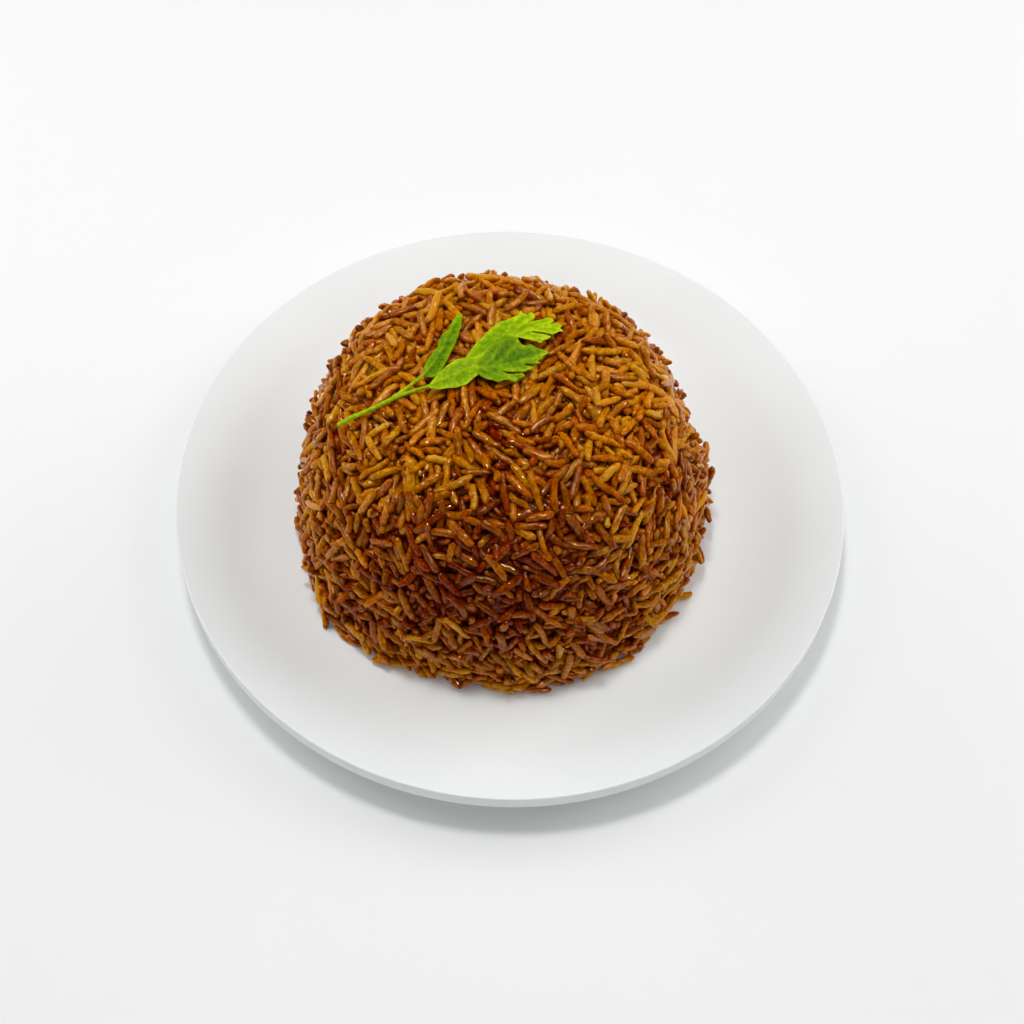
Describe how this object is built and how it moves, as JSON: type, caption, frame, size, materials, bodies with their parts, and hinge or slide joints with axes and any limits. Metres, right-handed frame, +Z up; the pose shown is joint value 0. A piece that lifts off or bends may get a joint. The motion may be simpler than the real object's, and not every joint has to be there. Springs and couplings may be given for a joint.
{
  "type": "plate of sayadieh",
  "caption": "Round white coupe plate carrying a steep, flat-topped mound of brown long-grain rice turned out of a bowl, with a coriander sprig on top.",
  "frame": {"origin": "centre of the plate's foot ring, on the surface that it stands on", "axes": "+Z up along the plate's axis, -Y towards the diner, +X to the diner's right"},
  "size_m": [0.24, 0.24, 0.0914],
  "materials": {
    "plate_glaze": "smooth white glaze",
    "brown_rice": "moist cooked grain with an oily sheen",
    "coriander": "fresh soft leaf"
  },
  "bodies": {
    "root": {"plate": "plate_glaze", "rice_mound": "brown_rice", "coriander_sprig": "coriander"}
  },
  "joints": []
}
